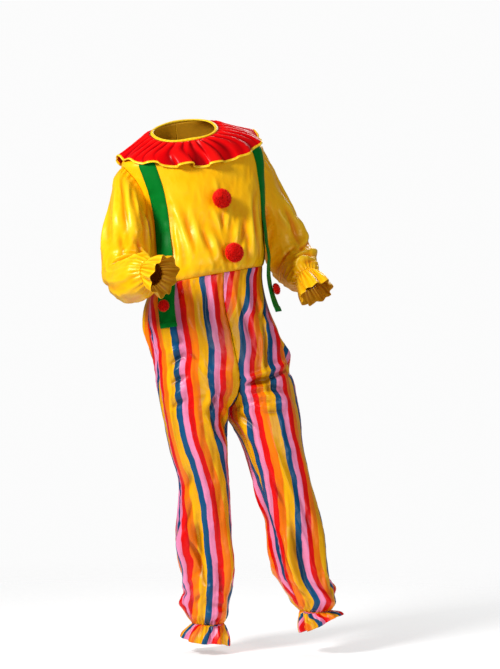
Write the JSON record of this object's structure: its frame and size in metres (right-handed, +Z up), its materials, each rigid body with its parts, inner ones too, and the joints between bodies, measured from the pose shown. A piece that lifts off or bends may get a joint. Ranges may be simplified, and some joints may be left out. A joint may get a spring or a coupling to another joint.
{
  "type": "clown costume",
  "caption": "One-piece clown suit as worn, leaning with bent arms: yellow top, frilled red collar, green braces, red pompoms and striped trousers gathered at the ankles.",
  "frame": {"origin": "middle of the neck opening, where the wearer's neck and shoulders hold the suit up", "axes": "+Z up along the standing wearer, the chest faces -Y, the wearer's left is +X"},
  "size_m": [0.713, 0.4443, 1.534],
  "materials": {
    "yellow_satin": "satin",
    "striped_satin": "satin, vertical stripes of blue, pink, red, orange and yellow",
    "red_satin": "satin",
    "yellow_binding": "satin",
    "green_strap": "satin",
    "red_pompom": "fluffy yarn"
  },
  "bodies": {
    "root": {"bodice_front": "yellow_satin", "bodice_back_left": "yellow_satin", "bodice_back_right": "yellow_satin", "sleeve_left": "yellow_satin", "sleeve_right": "yellow_satin", "wrist_frill_left": "yellow_satin", "wrist_frill_right": "yellow_satin", "trousers_front_left": "striped_satin", "trousers_front_right": "striped_satin", "trousers_back_left": "striped_satin", "trousers_back_right": "striped_satin", "ankle_frill_left": "striped_satin", "ankle_frill_right": "striped_satin", "collar": "red_satin", "collar_edge_binding": "yellow_binding", "neck_binding": "yellow_binding", "brace_left": "green_strap", "brace_right": "green_strap", "pompom_upper": "red_pompom", "pompom_lower": "red_pompom", "brace_pompom_left": "red_pompom", "brace_pompom_right": "red_pompom"}
  },
  "joints": []
}
